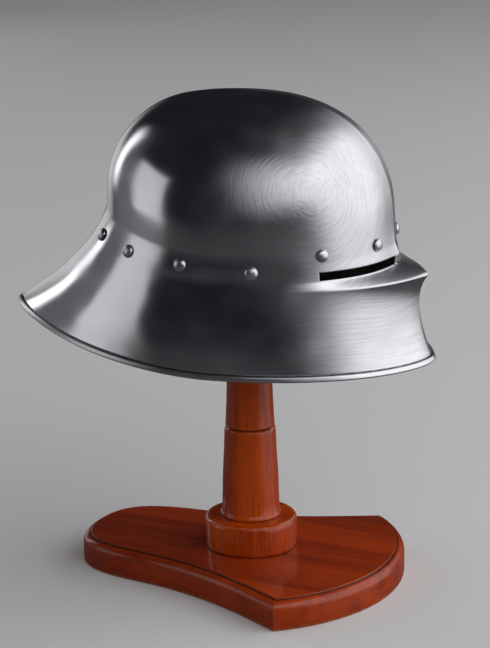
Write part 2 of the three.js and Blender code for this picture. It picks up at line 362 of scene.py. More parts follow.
def steelMaterial(name, small=False):
    material, tree, bsdf = newMaterial(name)
    place = placeOf(tree)
    patch = noiseOf(tree, place, steel["patchScale"], 1.0)["Fac"]
    cloud = noiseOf(tree, place, steel["cloudScale"], 1.5)["Fac"]
    worn = rampOf(tree, cloud, 0.3, 0.75, 0.0, steel["tarnishShare"])
    colour = mixColour(tree, worn, steel["base"], steel["tarnish"])
    haze = rampOf(tree, patch, *steel["hazeSpan"], *steel["small" if small else "polished"])
    if small:
        height = marksAlong(tree, place, "smallMarks", Detail=2.0)
        normal = bumpOf(tree, height, steel["markDepth"] * steel["smallDepth"])
        seam = valueOf(tree, "edge")
    else:
        uv = addNode(tree, "ShaderNodeUVMap", uv_map="hoopMap").outputs["UV"]
        row = split(tree, uv)["Y"]
        brushed = brushedShare(tree, place, cloud)
        deep = rampOf(tree, brushed, 0.0, 1.0, steel["polishedDepth"], 1.0)
        height = times(tree, sheetMarks(tree, place, uv, row, cloud), deep)
        marks = bumpOf(tree, height, steel["markDepth"])
        normal = bumpOf(tree, patch, steel["lumpDepth"], Normal=marks)
        seam = rampOf(tree, row, *steel["seam"])
        rough = rampOf(tree, patch, *steel["hazeSpan"], *steel["brushed"])
        haze = mixColour(tree, brushed, haze, rough)
        # painted shade in the bottoms of the polishing marks, where the steel is brushed
        line = times(tree, rampOf(tree, height, 0.3, 0.6, steel["markTone"], 0.0), brushed)
        colour = mixColour(tree, line, colour, steel["steelShade"])
        grain = addNode(tree, "ShaderNodeTangent", direction_type="UV_MAP", uv_map="hoopMap")
        feed(tree, bsdf.inputs, {
            "Tangent": grain.outputs[0], "Anisotropic": steel["anisotropy"]})
    spots = useGroup(tree, specks, {
        "Vector": place, "Spacing": steel["speckSpacing"], "Size": steel["speckSize"],
        "Share": steel["speckle"]})["Mask"]
    # painted shade along the seam over the rim and round the rivets' feet, made less metallic
    # there too
    seamShade = useGroup(tree, edgeWearAndShade, {
        "Vector": place, "Edge": seam, "Breakup": steel["seamBreakup"],
        "Amount": steel["seamShadeAmount"]})["Mask"]
    feed(tree, bsdf.inputs, {
        "Base Color": mixColour(tree, seamShade, colour, steel["steelShade"]),
        "Roughness": plus(tree, haze, times(tree, spots, steel["speckHaze"])),
        "Metallic": minus(tree, 1.0, times(tree, seamShade, 0.7)),
        "Normal": normal,
    })
    return material


def insideMaterial():  # the unpolished inner face, painted near black to stand for the shade inside the helmet and in its slits
    material, tree, bsdf = newMaterial("helmet_inside")
    scale = noiseOf(tree, placeOf(tree), steel["insideScale"], 5.0, 0.65)["Fac"]
    pale = rampOf(tree, scale, 0.35, 0.7)
    feed(tree, bsdf.inputs, {
        "Base Color": mixColour(tree, pale, steel["insideDark"], steel["insideLight"]),
        "Roughness": rampOf(tree, scale, 0.3, 0.7, 0.75, 0.5),
        "Metallic": steel["insideMetal"],
        "Normal": bumpOf(tree, scale, steel["insideDepth"]),
    })
    return material


helmetSteel = steelMaterial("helmet_steel")
helmetInside = insideMaterial()
rimSteel = steelMaterial("rim_steel", small=True)
rivetSteel = steelMaterial("rivet_steel", small=True)
print("steel ready")


# wood

wood = {
    "board": {
        "dark": (0.21, 0.022, 0.004, 1), "light": (0.44, 0.050, 0.005, 1),
        "axis": (0, 0, 8), "gloss": 0.12,
    },
    "turned": {
        "dark": (0.28, 0.024, 0.001, 1), "light": (0.58, 0.078, 0.003, 1),
        "axis": (0, 90, 0), "gloss": 0.06,
    },
    # painted shade in the board's step, the groove and the joints between the pieces
    "woodShade": (0.02, 0.006, 0.003, 1),
    "woodShadeShare": 0.9,
    "worn": (0.62, 0.30, 0.16, 1),
    "wornShare": 0.3,
    "poreTone": 0.35,  # of the dark colour
    "poreShare": 0.2,
    "poreDepth": 0.00006,
    "nickShare": 0.45,
    "roughness": (0.46, 0.30),  # in the dark grain and in the light
    "bareShine": 0.06,  # of the wood under its varnish
    "varnish": 0.65,
}


def woodMaterial(name, kind):
    material, tree, bsdf = newMaterial(name)
    finish = wood[kind]
    place = placeOf(tree)
    turned = addNode(tree, "ShaderNodeMapping", {
        "Vector": place, "Rotation": tuple(math.radians(a) for a in finish["axis"])}).outputs[0]
    figure = useGroup(tree, timber, {"Vector": turned})
    poreColour = tuple(wood["poreTone"] * c for c in finish["dark"][:3]) + (1,)
    worn = useGroup(tree, edgeWearAndShade, {
        "Vector": place, "Edge": valueOf(tree, "edge"), "Breakup": 300.0, "Amount": 0.45})["Mask"]
    nicks = useGroup(tree, specks, {
        "Vector": place, "Spacing": 0.012, "Size": 0.0008, "Share": 0.3})["Mask"]
    marks = calc(tree, "MAXIMUM", times(tree, worn, wood["wornShare"]),
                 times(tree, nicks, wood["nickShare"]))
    tone = rampOf(tree, figure["Tone"], 0.36, 0.66)
    colour = mixColour(tree, tone, finish["dark"], finish["light"])
    colour = mixColour(tree, times(tree, figure["Pores"], wood["poreShare"]), colour, poreColour)
    colour = mixColour(tree, marks, colour, wood["worn"])
    # painted shade along the step, the groove and the joints between the pieces
    woodShade = times(tree, valueOf(tree, "hollow"), wood["woodShadeShare"])
    feed(tree, bsdf.inputs, {
        "Base Color": mixColour(tree, woodShade, colour, wood["woodShade"]),
        "Roughness": rampOf(tree, figure["Tone"], 0.3, 0.7, *wood["roughness"]),
        "Normal": bumpOf(tree, figure["Height"], wood["poreDepth"]),
        "Specular IOR Level": wood["bareShine"],
        "Coat Weight": wood["varnish"],
        "Coat Roughness": finish["gloss"],
    })
    return material


boardWood = woodMaterial("board_wood", "board")
turnedWood = woodMaterial("turned_wood", "turned")
print("wood ready")


# the skull: hoops from the crown (0) to the rim (15), each a plan curve through its front,
# side and back

skull = {
    "thick": 2.0,
    "crown": 438.0,
    "domeHoops": 7,
    "domeFront": (129.0, 325.0, 2.4),  # half size, height where it is widest, squareness
    "domeSide": (107.0, 316.0, 2.3),
    "domeBack": (124.0, 336.0, 2.6),
    "domePoint": (0.98, 0.98),
    "skirt": [  # front out and height, side, back, pointedness ahead and behind
        (129.5, 314, 107.7, 311, 131.5, 321.5, 0.99, 1.02),
        (131.5, 304, 108.3, 305, 142, 306.5, 1.02, 1.06),
        (132.5, 296, 109, 297.5, 148, 299.5, 1.03, 1.1),
        (134, 288, 110, 290, 158, 289, 1.05, 1.16),
        (138.5, 274, 112, 276, 170, 276.5, 1.08, 1.25),
        (146, 254.5, 114.5, 259, 184, 264.5, 1.13, 1.35),
        (154.5, 235, 117, 240, 199, 253, 1.19, 1.46),
        (163.5, 215, 119, 220.5, 213.5, 242, 1.25, 1.58),
    ],
    "endRise": (2, 1.6),  # how fast a hoop's height nears that of its front and of its back
    "crease": 10,
    "fold": 11,
    "rim": 15,
    "ledgeReach": 27.0,
    "ledgeSpread": 68.0,
    "keelWidth": 12.0,
    "keel": [(0, 1.8), (7, 1.8), (8, 2.8), (9, 4.4), (10, 1.6), (11, 1), (15, 1)],
    "keelFades": (-115.0, -60.0),
    "slit": (2.7, 48.2, 9.02, 9.93),  # degrees from the middle, hoops
    "slitRound": 2.3,
    "slitScale": (2.3, 6.3),  # mm to a degree and to a hoop there
    "slitBreak": 0.3,  # width of the broken edge
    "foldRound": 0.09,  # hoops either side of the ledge's fold that its bend takes
    "creaseRound": 0.05,
    "ripple": 0.07,  # hammer waviness
    "rippleWaves": 9,
    "rippleLengths": (26, 80),
    "rippleSeed": 7,
    "mapRadius": 0.11,  # metres of pattern to one radian
    "hoopDown": [0.0, 0.054, 0.081, 0.107, 0.133, 0.157, 0.18, 0.201, 0.213, 0.221, 0.229,
                 0.246, 0.262, 0.281, 0.3, 0.32],  # metres down from the crown to each hoop
}


def hoopTable():
    rows = []
    for i in range(skull["domeHoops"] + 1):
        angle = i / skull["domeHoops"] * math.pi / 2
        row = []
        for key in ("domeFront", "domeSide", "domeBack"):
            reach, base, power = skull[key]
            row += [reach * math.sin(angle) ** (2 / power),
                    base + (skull["crown"] - base) * max(math.cos(angle), 0) ** (2 / power)]
        rows.append(row + list(skull["domePoint"]))
    table = np.array(rows + [list(r) for r in skull["skirt"]], float)
    return np.vstack([2 * table[0] - table[1], table, 2 * table[-1] - table[-2]])


hoops = hoopTable()


def between(p0, p1, p2, p3, f):  # Catmull-Rom from p1 to p2
    cubed = 3 * (p1 - p2) + p3 - p0
    return p1 + 0.5 * f * (p2 - p0 + f * (2 * p0 - 5 * p1 + 4 * p2 - p3 + f * cubed))


def hoopPoint(t, phi):
    i = np.clip(np.floor(t).astype(int), 0, len(hoops) - 4)
    h = between(*(hoops[i + k] for k in range(4)), (t - i)[..., None])
    h = np.moveaxis(h, -1, 0)
    c, s = np.cos(phi), np.sin(phi)
    ahead = c >= 0
    y = np.sign(s) * h[2] * np.abs(s) ** np.where(ahead, h[6], h[7])
    endwise = np.abs(c) ** np.where(ahead, *skull["endRise"])
    z = h[3] + endwise * (np.where(ahead, h[1], h[5]) - h[3])
    return np.stack([np.where(ahead, h[0], h[4]) * c, y, z], -1)


def ledgePush(t, phi):
    up = np.clip(t - skull["crease"], 0, 1)
    fall = np.clip((skull["rim"] - t) / (skull["rim"] - skull["fold"]), 0, 1) ** 2
    spread = np.clip(1 - np.abs(phi) / math.radians(skull["ledgeSpread"]), 0, 1) ** 2
    return skull["ledgeReach"] * np.where(t < skull["fold"], up, fall) * spread


def bodyPoint(t, phi):
    point = hoopPoint(t, phi)
    along = hoopPoint(t, phi + 1e-3) - hoopPoint(t, phi - 1e-3)
    out = np.stack([along[..., 1], -along[..., 0]], -1)
    out /= np.linalg.norm(out, axis=-1, keepdims=True) + 1e-12
    point[..., :2] += out * ledgePush(t, phi)[..., None]
    return point


def bodyNormal(t, phi):
    near = np.maximum(t, 0.05)
    over, under = np.maximum(t - 0.01, 0.05), np.minimum(near + 0.01, skull["rim"])
    down = bodyPoint(under, phi) - bodyPoint(over, phi)
    around = bodyPoint(near, phi + 1e-3) - bodyPoint(near, phi - 1e-3)
    normal = np.cross(down, around)
    return normal / (np.linalg.norm(normal, axis=-1, keepdims=True) + 1e-12)


def ripple(point):
    rng = np.random.default_rng(skull["rippleSeed"])
    total = np.zeros(point.shape[:-1])
    for _ in range(skull["rippleWaves"]):
        way = rng.normal(size=3)
        way *= 2 * math.pi / rng.uniform(*skull["rippleLengths"]) / np.linalg.norm(way)
        total += np.sin(point @ way + rng.uniform(0, 2 * math.pi))
    return total * skull["ripple"] / math.sqrt(skull["rippleWaves"])


def foldedPoint(t, phi):  # the body with its fold and crease worked round
    point = bodyPoint(t, phi)
    for line in ("fold", "crease"):
        reach = skull[line + "Round"]
        span = np.clip(1 - np.abs(t - skull[line]) / (2 * reach), 0, 1) * reach
        near = span > 0
        if near.any():
            over = bodyPoint(t[near] - span[near], phi[near])
            under = bodyPoint(t[near] + span[near], phi[near])
            point[near] = 0.5 * point[near] + 0.25 * (over + under)
    return point


def skullPoint(t, phi, depth=0.0):
    t, phi = np.broadcast_arrays(np.asarray(t, float), np.asarray(phi, float))
    point = foldedPoint(t, phi)
    table = np.array(skull["keel"], float)
    low, high = skull["keelFades"]
    fade = np.clip((point[..., 0] - low) / (high - low), 0, 1)
    fade = fade * fade * (3 - 2 * fade)
    across = np.exp(-np.abs(point[..., 1]) / skull["keelWidth"])
    height = np.interp(t, table[:, 0], table[:, 1]) * fade * across
    return point + bodyNormal(t, phi) * (height + ripple(point) - depth)[..., None]


def spaced(stops):  # [from, to, steps] runs joined end to end
    values = []
    for start, end, steps in stops:
        values += [start + (end - start) * k / steps for k in range(steps)]
    return values + [stops[-1][1]]


def roundedCorner(t, phi):  # rounds the corners at the slits' inner ends
    first, _, top, bottom = skull["slit"]
    perDegree, perHoop = skull["slitScale"]
    radius = skull["slitRound"]
    along = (np.degrees(np.abs(phi)) - first) * perDegree - radius
    across = (t - (top + bottom) / 2) * perHoop
    half = (bottom - top) / 2 * perHoop
    over = np.abs(across) - (half - radius)
    inside = (along < 1e-6) & (along > -radius - 1e-6) & (over > -1e-6) & (over < radius + 1e-6)
    size = np.hypot(along, over)
    shrink = np.where(inside & (size > radius), radius / np.maximum(size, 1e-9), 1)
    along, over = along * shrink, over * shrink
    newPhi = np.sign(phi) * np.radians((along + radius) / perDegree + first)
    newT = (top + bottom) / 2 + np.sign(across) * (over + half - radius) / perHoop
    return np.where(shrink < 1, newT, t), np.where(shrink < 1, newPhi, phi)


def sheetRows(fine):  # hoops down one face of the sheet, closer together where it bends
    top, bottom = skull["slit"][2:]
    atSlit = [[8.8, top - 0.12, 1], [top - 0.12, top, 1], [top, bottom, 6], [bottom, 10, 1]]
    if fine:
        return spaced([
            [0.04, 1, 12], [1, 6.9, 53], [6.9, 8, 1], [8, 8.8, 8], *atSlit, [10, 10.25, 2],
            [10.25, 10.82, 5], [10.82, 11, 3], [11, 11.12, 3], [11.12, 11.6, 5], [11.6, 15, 32]])
    return spaced([[0.04, 1, 5], [1, 6.9, 20], [6.9, 8, 1], [8, 8.8, 4], *atSlit, [10, 11, 4],
                   [11, 15, 14]])


def sheetColumns():  # radians round from the brow, with both ends of each slit among them
    first, last = skull["slit"][:2]
    half = spaced([
        [0, 0.5, 2], [0.5, first, 3], [first, first + 1.2, 4], [first + 1.2, 20, 16],
        [20, last - 0.4, 26], [last - 0.4, last, 1], [last, last + 0.4, 1],
        [last + 0.4, 110, 44], [110, 172, 44], [172, 180, 8]])
    return np.radians(np.array([-d for d in reversed(half[1:])] + half[:-1]))


def breakEdges(mesh, pairs, width):
    edit = bmesh.new()
    edit.from_mesh(mesh)
    edges = [e for e in edit.edges if frozenset((e.verts[0].index, e.verts[1].index)) in pairs]
    bmesh.ops.bevel(edit, geom=edges, offset=width * mm, segments=2, profile=0.5,
                    affect="EDGES", clamp_overlap=True)
    edit.to_mesh(mesh)
    edit.free()


def skullMesh():
    first, last, top, bottom = skull["slit"]
    columns = sheetColumns()
    n = len(columns)
    nexts = [*columns[1:], math.pi]
    points, faces, uvs, inside, layers = [], [], [], set(), []

    def addFace(corners, ends, turned):
        if turned:
            corners, ends = corners[::-1], ends[::-1]
            inside.add(len(faces))
        faces.append(corners)
        uvs.extend(ends)

    for layer, depth in enumerate((0.0, skull["thick"])):
        rows = sheetRows(fine=layer == 0)
        t, phi = roundedCorner(*np.meshgrid(np.array(rows), columns, indexing="ij"))
        start = len(points)
        points += skullPoint(t, phi, depth).reshape(-1, 3).tolist()
        pole = len(points)
        points.append(skullPoint(0.0, 0.0, depth).tolist())
        cut = {}  # edges of the faces left out for the slits
        for r, (row, nextRow) in enumerate(zip(rows, rows[1:])):
            a, b = start + r * n, start + (r + 1) * n
            for k, (here, there) in enumerate(zip(columns, nexts)):
                m = (k + 1) % n
                corners = [a + k, b + k, b + m, a + m]
                around = abs(math.degrees(here + there) / 2)
                if top < (row + nextRow) / 2 < bottom and first < around < last:
                    cut.update(dict.fromkeys(zip(corners, corners[1:] + corners[:1])))
                    continue
                ends = [(here, row), (here, nextRow), (there, nextRow), (there, row)]
                addFace(corners, ends, layer)
        for k, (here, there) in enumerate(zip(columns, nexts)):
            ends = [((here + there) / 2, 0.0), (here, rows[0]), (there, rows[0])]
            addFace([pole, start + k, start + (k + 1) % n], ends, layer)
        layers.append((start, rows, [(a, b) for a, b in cut if (b, a) not in cut]))

    def standsOn(layer, point):  # hoop and column
        start, rows, _ = layers[layer]
        r, k = divmod(point - start, n)
        return round(rows[r], 4), k

    inner = {(standsOn(1, a), standsOn(1, b)): (a, b) for a, b in layers[1][2]}
    slitEdges = set()
    for a, b in layers[0][2]:
        c, d = inner[standsOn(0, a), standsOn(0, b)]
        r, k = divmod(a - layers[0][0], n)
        addFace([d, c, a, b], [(columns[k], layers[0][1][r])] * 4, False)
        slitEdges |= {frozenset((a, b)), frozenset((c, d))}
    lowOuter, lowInner = (start + (len(rows) - 1) * n for start, rows, _ in layers)
    for k in range(n):
        m = (k + 1) % n
        addFace([lowOuter + k, lowInner + k, lowInner + m, lowOuter + m],
                [(columns[k], skull["rim"])] * 4, False)

    mesh = meshFrom("skullSheet", points, faces)
    pairs = np.array(uvs)
    down = np.interp(pairs[:, 1], np.arange(skull["rim"] + 1), skull["hoopDown"])
    flat = np.stack([pairs[:, 0] * skull["mapRadius"], down], -1)
    mesh.uv_layers.new(name="hoopMap").data.foreach_set("uv", flat.astype(np.float32).ravel())
    mesh.materials.append(helmetSteel)
    mesh.materials.append(helmetInside)
    mesh.polygons.foreach_set("material_index", [int(i in inside) for i in range(len(faces))])
    breakEdges(mesh, slitEdges, skull["slitBreak"])
    mesh.shade_smooth()
    return mesh


addPiece("skullSheet", skullMesh(), helmetSteel, "helmet_steel", "skull")


# geometry node helpers

def newGeometryTree(name, inputs):
    shape = ("Geometry", "Geometry")
    return newTree(name, "GeometryNodeTree", [(*shape, None), *inputs], [shape])


def pointValue(tree, name, kind):
    return addNode(tree, "GeometryNodeInputNamedAttribute", {"Name": name},
                   data_type=kind).outputs["Attribute"]


def finishTree(tree, geometry, material, made):
    real = addNode(tree, "GeometryNodeRealizeInstances", {"Geometry": geometry})
    painted = addNode(tree, "GeometryNodeSetMaterial", {
        "Geometry": real.outputs[0], "Material": material})
    feed(tree, made, {"Geometry": painted.outputs[0]})


def meshByNodes(name, start, tree, values):  # runs the tree on a mesh, keeps only the result
    carrier = linkNew(bpy.data.objects.new(name + "Carrier", start))
    modifier = carrier.modifiers.new("nodes", "NODES")
    modifier.node_group = tree
    for item in tree.interface.items_tree:
        if item.in_out == "INPUT" and item.name in values:
            modifier[item.identifier] = values[item.name]
    ready = carrier.evaluated_get(bpy.context.evaluated_depsgraph_get())
    mesh = bpy.data.meshes.new_from_object(ready)
    mesh.name = name
    carrier.modifiers.remove(modifier)
    bpy.data.objects.remove(carrier)
    return mesh


# rim: the edge rolled over a wire

rim = {
    "across": 5.0, "tall": 5.0, "corner": 1.35, "cornerSteps": 6, "around": 420,
    "inset": 0.35, "drop": 2.45, "unevenness": 0.28, "seed": 3,
    "seamFull": 0.36, "seamGone": 0.96,  # mm from the skirt's edge, where the painted shade line ends
    "seamSteps": 900,
}


def rimTree():
    tree, given, made = newGeometryTree("rolledRim", [
        ("Across", "Float", 0.005), ("Tall", "Float", 0.005), ("Corner", "Float", 0.002),
        ("Corner Steps", "Int", 6), ("Unevenness", "Float", 0.0001),
        ("Seed", "Float", 3.0), ("Finish", "Material", None),
    ])
    path = addNode(tree, "GeometryNodeMeshToCurve", {"Mesh": given["Geometry"]})
    upright = addNode(tree, "GeometryNodeSetCurveNormal", {"Curve": path.outputs[0]}, mode="Z_UP")
    leant = addNode(tree, "GeometryNodeSetCurveTilt", {
        "Curve": upright.outputs[0], "Tilt": pointValue(tree, "lean", "FLOAT")})
    square = addNode(tree, "GeometryNodeCurvePrimitiveQuadrilateral", {
        "Width": given["Across"], "Height": given["Tall"]})
    wire = addNode(tree, "GeometryNodeFilletCurve", {
        "Curve": square.outputs[0], "Radius": given["Corner"], "Count": given["Corner Steps"],
    }, mode="POLY")
    rolled = addNode(tree, "GeometryNodeCurveToMesh", {
        "Curve": leant.outputs[0], "Profile Curve": wire.outputs["Curve"]})
    noise = addNode(tree, "ShaderNodeTexNoise", {
        "Scale": 90.0, "Detail": 2.0, "W": given["Seed"]}, noise_dimensions="4D")
    push = times(tree, minus(tree, noise.outputs["Fac"], 0.5), given["Unevenness"])
    normal = addNode(tree, "GeometryNodeInputNormal").outputs[0]
    shaken = addNode(tree, "GeometryNodeSetPosition", {
        "Geometry": rolled.outputs[0],
        "Offset": vectorCalc(tree, "SCALE", {0: normal, "Scale": push})[0]})
    smooth = addNode(tree, "GeometryNodeSetShadeSmooth", {
        "Geometry": shaken.outputs[0], "Shade Smooth": True})
    finishTree(tree, smooth.outputs[0], given["Finish"], made)
    return tree


def rimPath():
    count = rim["around"]
    phi = np.linspace(-math.pi, math.pi, count, endpoint=False)
    t = np.full_like(phi, skull["rim"])
    edge = skullPoint(t, phi)
    down = edge - skullPoint(t - 0.05, phi)
    down /= np.linalg.norm(down, axis=-1, keepdims=True)
    path = edge - bodyNormal(t, phi) * rim["inset"] + down * rim["drop"]
    mesh = bpy.data.meshes.new("rimPath")
    mesh.from_pydata((path * mm).tolist(), [(k, (k + 1) % count) for k in range(count)], [])
    setValues(mesh, "lean", -np.arctan2(np.hypot(down[:, 0], down[:, 1]), -down[:, 2]))
    return mesh


def markSeam(mesh):  # painted shade where the roll turns back against the skirt
    phi = np.linspace(-math.pi, math.pi, rim["seamSteps"], endpoint=False)
    line = skullPoint(np.full_like(phi, skull["rim"]), phi)
    gap = np.array([np.sqrt(((line - p) ** 2).sum(-1)).min() for p in pointsOf(mesh)])
    full, gone = rim["seamFull"], rim["seamGone"]
    setValues(mesh, "edge", np.clip((gone - gap) / (gone - full), 0, 1))


rimMesh = meshByNodes("rimRoll", rimPath(), rimTree(), {
    "Across": rim["across"] * mm, "Tall": rim["tall"] * mm, "Corner": rim["corner"] * mm,
    "Corner Steps": rim["cornerSteps"], "Unevenness": rim["unevenness"] * mm,
    "Seed": float(rim["seed"]), "Finish": rimSteel})
markSeam(rimMesh)
addPiece("rimRoll", rimMesh, rimSteel, "helmet_steel", "skull")


# rivets

rivet = {
    "head": 5.6, "rise": 3.4, "seat": 0.25, "sunk": 0.2, "shank": 2.4,
    "domeAngles": (4, 12, 22, 32, 43, 54, 65, 77), "domePower": 0.9,
    "clench": 4.0, "clenchRise": 1.4, "clenchGap": 0.15,
    "clenchShape": [(0, 1), (2.6, 0.95), (3.5, 0.6)],  # radius, share of the rise
    # height and width in mm of the painted shade round the head's foot
    "seamAt": 0.1, "seamWidth": 0.6,
    "segments": 40, "sizeSpread": 0.035, "seed": 11,
    # degrees from the brow, hoops
    "places": [(16, 7.4), (46, 7.1), (74, 8.8), (101, 8.3), (126, 8.2), (149, 8.1)],
}


# the outline is [radius, height] from the foot up; a closed one turns into a ring
def latheMesh(name, outline, segments, closed=False):
    points, faces, rows = [], [], []
    angles = [2 * math.pi * k / segments for k in range(segments)]
    for radius, height in outline:
        start = len(points)
        if radius < 1e-6:
            points.append((0, 0, height))
        else:
            points += [(radius * math.cos(a), radius * math.sin(a), height) for a in angles]
        rows.append(list(range(start, len(points))))
    pairs = list(zip(rows, rows[1:])) + ([(rows[-1], rows[0])] if closed else [])
    for low, high in pairs:
        for k in range(segments):
            m = (k + 1) % segments
            if len(low) == 1:
                faces.append([low[0], high[m], high[k]])
            elif len(high) == 1:
                faces.append([low[k], low[m], high[0]])
            else:
                faces.append([low[k], low[m], high[m], high[k]])
    return meshFrom(name, points, faces)


def rivetMesh():
    inside = -skull["thick"] - rivet["clenchGap"]
    head, rise, seat, sunk = (rivet[k] for k in ("head", "rise", "seat", "sunk"))
    outline = [(r, inside - rivet["clenchRise"] * share) for r, share in rivet["clenchShape"]]
    outline += [(rivet["clench"], inside), (rivet["shank"], inside), (rivet["shank"], -sunk),
                (head - 0.5, -sunk), (head - 0.1, 0.0)]
    for angle in (math.radians(a) for a in rivet["domeAngles"]):
        outline.append((head * math.cos(angle),
                        seat + rise * math.sin(angle) ** rivet["domePower"]))
    mesh = latheMesh("rivet", outline + [(0, seat + rise)], rivet["segments"])
    # painted shade round the foot of the head, where it meets the sheet
    gap = np.array([abs(v.co.z / mm - rivet["seamAt"]) for v in mesh.vertices])
    setValues(mesh, "edge", np.clip(1.2 - gap / rivet["seamWidth"], 0, 1))
    return mesh


def rivetTree():
    tree, given, made = newGeometryTree("liningRivets", [
        ("Rivet", "Object", None), ("Size Spread", "Float", 0.03), ("Seed", "Int", 11),
        ("Finish", "Material", None),
    ])
    source = addNode(tree, "GeometryNodeObjectInfo", {
        "Object": given["Rivet"], "As Instance": True})
    turn = addNode(tree, "FunctionNodeAlignRotationToVector", {
        "Vector": pointValue(tree, "aim", "FLOAT_VECTOR")}, axis="Z")
    size = addNode(tree, "FunctionNodeRandomValue", {
        2: minus(tree, 1.0, given["Size Spread"]), 3: plus(tree, 1.0, given["Size Spread"]),
        "Seed": given["Seed"]}, data_type="FLOAT")
    placed = addNode(tree, "GeometryNodeInstanceOnPoints", {
        "Points": given["Geometry"], "Instance": source.outputs["Geometry"],
        "Rotation": turn.outputs[0], "Scale": size.outputs[1]})
    finishTree(tree, placed.outputs[0], given["Finish"], made)
    return tree


def rivetSpots():
    around = np.array([[side * a, t] for side in (-1, 1) for a, t in rivet["places"]])
    phi, t = np.radians(around[:, 0]), around[:, 1]
    mesh = bpy.data.meshes.new("rivetSpots")
    mesh.from_pydata((skullPoint(t, phi) * mm).tolist(), [], [])
    aim = mesh.attributes.new("aim", "FLOAT_VECTOR", "POINT")
    aim.data.foreach_set("vector", bodyNormal(t, phi).astype(np.float32).ravel())
    return mesh


rivetSource = linkNew(bpy.data.objects.new("rivetSource", rivetMesh()))
rivetResult = meshByNodes("liningRivets", rivetSpots(), rivetTree(), {
    "Rivet": rivetSource, "Size Spread": rivet["sizeSpread"], "Seed": rivet["seed"],
    "Finish": rivetSteel})
bpy.data.objects.remove(rivetSource)
rivetNodes = [f"rivet_{side}_{i + 1}"
              for side in ("right", "left") for i in range(len(rivet["places"]))]
addPiece("liningRivets", rivetResult, rivetSteel, "rivet_steel", *rivetNodes)


# board

board = {
    "thick": 27.0, "step": 1.6, "round": 7.0, "turn": -8.0,
    "centre": -17.6, "front": 146.6, "corner": 112.0,  # the arc ahead
    "flank": [(34, 90), (-12, 65), (-80, 59)],
    "stern": [(-80, 59), (-128, 55), (-154, 44), (-154, 0)],
    "arcSteps": 44, "flankSteps": 60, "sternSteps": 64,
    # grown out from the outline, height, wear (less than 0: painted shade)
    "topLevels": [(-0.9, 0, 0), (-0.35, -0.05, 0.3), (0, -0.35, 0.1)],  # from the top
    "stepLevels": [(0.1, 0.6, -0.8), (0.2, 0.1, -1), (0.6, -0.05, -1)],  # from the step
    "footLevels": [(0, 15, 0), (0, 9, 0), (0, 3, 0.2), (-0.2, 0.8, 1), (-0.8, 0.1, 1),
                   (-1.6, 0, 0.3)],  # from the full width and the underside
    "roundAngles": (82, 74, 66, 58, 50, 42, 34, 26, 18, 11, 5, 0),
    "roundShade": -0.7, "roundWear": 0.35,  # painted shade and wear, at the round's upper and lower ends
    "sharpFrom": 38,
}


def cubic(a, b, c, d, steps):
    f = np.linspace(0, 1, steps + 1)[:, None]
    a, b, c, d = (np.array(p, float) for p in (a, b, c, d))
    return (1 - f) ** 3 * a + 3 * (1 - f) ** 2 * f * b + 3 * (1 - f) * f * f * c + f ** 3 * d


def boardLoop():
    centre, front = board["centre"], board["front"]
    angles = np.linspace(0, math.asin(board["corner"] / front), board["arcSteps"] + 1)
    ahead = np.stack([centre + front * np.cos(angles), front * np.sin(angles)], -1)
    flank = cubic(ahead[-1], *board["flank"], board["flankSteps"])
    stern = cubic(*board["stern"], board["sternSteps"])
    half = np.vstack([ahead, flank[1:], stern[1:]])
    return np.vstack([half, half[1:-1][::-1] * (1, -1)])


def boardLevels():
    radius = board["round"]
    shoulder = board["thick"] - board["step"]
    levels = [(grow, board["thick"] + z, worn) for grow, z, worn in board["topLevels"]]
    levels += [(grow, shoulder + z, worn) for grow, z, worn in board["stepLevels"]]
    for angle in board["roundAngles"]:
        a = math.radians(angle)
        worn = board["roundWear"] if angle < 12 else board["roundShade"] if angle > 80 else 0
        levels.append((radius * math.cos(a), shoulder - radius + radius * math.sin(a), worn))
    return levels + [(radius + grow, z, worn) for grow, z, worn in board["footLevels"]]


def boardMesh():
    loop = boardLoop()
    before = loop - np.roll(loop, 1, 0)
    after = np.roll(loop, -1, 0) - loop
    u, v = (w / np.linalg.norm(w, axis=1, keepdims=True) for w in (before, after))
    mitre = np.stack([u[:, 1] + v[:, 1], -u[:, 0] - v[:, 0]], -1) / (1 + (u * v).sum(1))[:, None]
    turn = math.radians(board["turn"])
    spin = np.array([[math.cos(turn), -math.sin(turn)], [math.sin(turn), math.cos(turn)]])
    levels = boardLevels()
    n = len(loop)
    points, edge, faces = [], [], []
    for grow, z, worn in levels:
        ring = (loop + mitre * grow) @ spin.T
        points += np.column_stack([ring, np.full(n, z)]).tolist()
        edge += [worn] * n
    for r in range(len(levels) - 1):
        for k in range(n):
            m = (k + 1) % n
            faces.append([r * n + k, (r + 1) * n + k, (r + 1) * n + m, r * n + m])
    low = (len(levels) - 1) * n
    for k in range(n // 2):  # strips across the top and the underside
        a, b = (n - k) % n, n - k - 1
        across = [k, k + 1, b, a]
        if k == 0:
            across = [0, 1, b]
        elif k + 1 == n // 2:
            across = [k, k + 1, a]
        faces += [across, [low + i for i in across[::-1]]]
    mesh = meshFrom("boardSolid", points, faces)
    mesh.set_sharp_from_angle(angle=math.radians(board["sharpFrom"]))
    setValues(mesh, "edge", np.maximum(edge, 0))
    setValues(mesh, "hollow", np.maximum(-np.array(edge), 0))
    return mesh


addPiece("boardSolid", boardMesh(), boardWood, "board_wood", "stand_board")


# turned pieces, each as [radius, height] outlines

turnedPiece = {
    "segments": 128,
    "capSegments": 64,
    "gap": 0.3,  # left clear between one piece and the next
    "sharpFrom": 36,
}

collar = {
    "radius": 40.7, "top": 56.0, "bore": 24.3,
    "side": [(0, 0.9), (0.35, 6), (0.6, 13)],  # out from the radius, up from the foot
    "shoulder": [(0.5, -6)],  # from here on up from the top
    "crown": [(0.35, -4.2), (-0.5, -2.1), (-1.8, -0.9), (-3.6, -0.25), (-5.5, 0)],
    "worn": [(-1.2, -1.5)], "wornWidth": 1.6,
}

